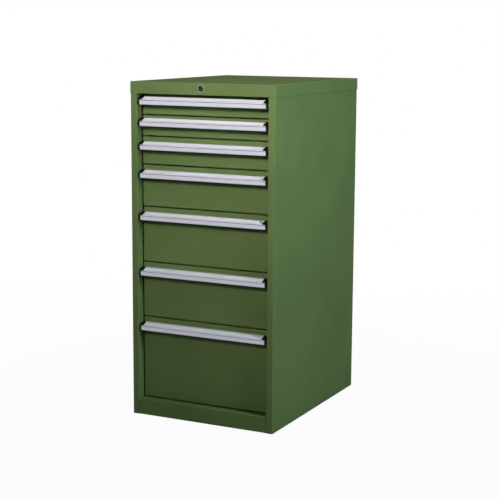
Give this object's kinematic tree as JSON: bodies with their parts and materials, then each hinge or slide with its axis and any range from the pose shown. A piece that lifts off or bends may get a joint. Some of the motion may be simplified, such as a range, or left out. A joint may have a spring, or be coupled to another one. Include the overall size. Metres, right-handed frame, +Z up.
{
  "type": "tool cabinet",
  "caption": "Tall steel tool cabinet with graded full-extension drawers, recessed full-width grip rails with label strips, and one central lock in the top rail.",
  "frame": {"origin": "on the floor, at the middle of the outer box", "axes": "+Z up, -Y is the front that the drawers open towards, +X is to the right seen from the front"},
  "size_m": [0.564, 0.7276, 1.2],
  "materials": {
    "carcass_paint": "smooth satin green enamel",
    "drawer_paint": "smooth satin green enamel",
    "aluminium": "satin anodised extrusion",
    "label_stock": "clear strip over blank light card",
    "black_plastic": "moulded, slightly glossy",
    "zinc_steel": "zinc plated",
    "lock_metal": "dark nickel plated"
  },
  "bodies": {
    "carcass": {"side_panel_left": "carcass_paint", "side_panel_right": "carcass_paint", "top_panel": "carcass_paint", "base_panel": "carcass_paint", "back_panel": "carcass_paint", "rail_frame_left": "zinc_steel", "rail_frame_right": "zinc_steel", "lock_barrel": "lock_metal", "lock_nut": "zinc_steel"},
    "drawer_1": {"drawer_1": "drawer_paint", "grip_rail_1": "aluminium", "label_strip_1": "label_stock", "grip_cap_1_left": "black_plastic", "grip_cap_1_right": "black_plastic"},
    "carriers_1": {"roller_carrier_1_left": "zinc_steel", "roller_carrier_1_right": "zinc_steel"},
    "drawer_2": {"drawer_2": "drawer_paint", "grip_rail_2": "aluminium", "label_strip_2": "label_stock", "grip_cap_2_left": "black_plastic", "grip_cap_2_right": "black_plastic"},
    "carriers_2": {"roller_carrier_2_left": "zinc_steel", "roller_carrier_2_right": "zinc_steel"},
    "drawer_3": {"drawer_3": "drawer_paint", "grip_rail_3": "aluminium", "label_strip_3": "label_stock", "grip_cap_3_left": "black_plastic", "grip_cap_3_right": "black_plastic"},
    "carriers_3": {"roller_carrier_3_left": "zinc_steel", "roller_carrier_3_right": "zinc_steel"},
    "drawer_4": {"drawer_4": "drawer_paint", "grip_rail_4": "aluminium", "label_strip_4": "label_stock", "grip_cap_4_left": "black_plastic", "grip_cap_4_right": "black_plastic"},
    "carriers_4": {"roller_carrier_4_left": "zinc_steel", "roller_carrier_4_right": "zinc_steel"},
    "drawer_5": {"drawer_5": "drawer_paint", "grip_rail_5": "aluminium", "label_strip_5": "label_stock", "grip_cap_5_left": "black_plastic", "grip_cap_5_right": "black_plastic"},
    "carriers_5": {"roller_carrier_5_left": "zinc_steel", "roller_carrier_5_right": "zinc_steel"},
    "drawer_6": {"drawer_6": "drawer_paint", "grip_rail_6": "aluminium", "label_strip_6": "label_stock", "grip_cap_6_left": "black_plastic", "grip_cap_6_right": "black_plastic"},
    "carriers_6": {"roller_carrier_6_left": "zinc_steel", "roller_carrier_6_right": "zinc_steel"},
    "drawer_7": {"drawer_7": "drawer_paint", "grip_rail_7": "aluminium", "label_strip_7": "label_stock", "grip_cap_7_left": "black_plastic", "grip_cap_7_right": "black_plastic"},
    "carriers_7": {"roller_carrier_7_left": "zinc_steel", "roller_carrier_7_right": "zinc_steel"},
    "lock_plug": {"lock_plug": "lock_metal"},
    "lock_bar": {"lock_bar": "zinc_steel"}
  },
  "joints": [
    {"name": "drawer_1_slide", "type": "slide", "parent": "carcass", "child": "drawer_1", "axis": [0, -1, 0], "range_m": [0, 0.612]},
    {"name": "carriers_1_slide", "type": "slide", "parent": "carcass", "child": "carriers_1", "axis": [0, -1, 0], "range_m": [0, 0.306]},
    {"name": "drawer_2_slide", "type": "slide", "parent": "carcass", "child": "drawer_2", "axis": [0, -1, 0], "range_m": [0, 0.612]},
    {"name": "carriers_2_slide", "type": "slide", "parent": "carcass", "child": "carriers_2", "axis": [0, -1, 0], "range_m": [0, 0.306]},
    {"name": "drawer_3_slide", "type": "slide", "parent": "carcass", "child": "drawer_3", "axis": [0, -1, 0], "range_m": [0, 0.612]},
    {"name": "carriers_3_slide", "type": "slide", "parent": "carcass", "child": "carriers_3", "axis": [0, -1, 0], "range_m": [0, 0.306]},
    {"name": "drawer_4_slide", "type": "slide", "parent": "carcass", "child": "drawer_4", "axis": [0, -1, 0], "range_m": [0, 0.612]},
    {"name": "carriers_4_slide", "type": "slide", "parent": "carcass", "child": "carriers_4", "axis": [0, -1, 0], "range_m": [0, 0.306]},
    {"name": "drawer_5_slide", "type": "slide", "parent": "carcass", "child": "drawer_5", "axis": [0, -1, 0], "range_m": [0, 0.612]},
    {"name": "carriers_5_slide", "type": "slide", "parent": "carcass", "child": "carriers_5", "axis": [0, -1, 0], "range_m": [0, 0.306]},
    {"name": "drawer_6_slide", "type": "slide", "parent": "carcass", "child": "drawer_6", "axis": [0, -1, 0], "range_m": [0, 0.612]},
    {"name": "carriers_6_slide", "type": "slide", "parent": "carcass", "child": "carriers_6", "axis": [0, -1, 0], "range_m": [0, 0.306]},
    {"name": "drawer_7_slide", "type": "slide", "parent": "carcass", "child": "drawer_7", "axis": [0, -1, 0], "range_m": [0, 0.612]},
    {"name": "carriers_7_slide", "type": "slide", "parent": "carcass", "child": "carriers_7", "axis": [0, -1, 0], "range_m": [0, 0.306]},
    {"name": "lock_bar_lift", "type": "slide", "parent": "carcass", "child": "lock_bar", "axis": [0, 0, 1], "range_m": [0, 0.0113]},
    {"name": "lock_plug_turn", "type": "hinge", "parent": "carcass", "child": "lock_plug", "pos_m": [0, -0.36125, 1.181], "axis": [0, -1, 0], "range_deg": [0, 90]}
  ],
  "couplings": [
    {"joint": "carriers_1_slide", "follows": "drawer_1_slide", "ratio": 0.5},
    {"joint": "carriers_2_slide", "follows": "drawer_2_slide", "ratio": 0.5},
    {"joint": "carriers_3_slide", "follows": "drawer_3_slide", "ratio": 0.5},
    {"joint": "carriers_4_slide", "follows": "drawer_4_slide", "ratio": 0.5},
    {"joint": "carriers_5_slide", "follows": "drawer_5_slide", "ratio": 0.5},
    {"joint": "carriers_6_slide", "follows": "drawer_6_slide", "ratio": 0.5},
    {"joint": "carriers_7_slide", "follows": "drawer_7_slide", "ratio": 0.5},
    {"joint": "lock_plug_turn", "follows": "lock_bar_lift", "rad_per_m": 138.84}
  ]
}
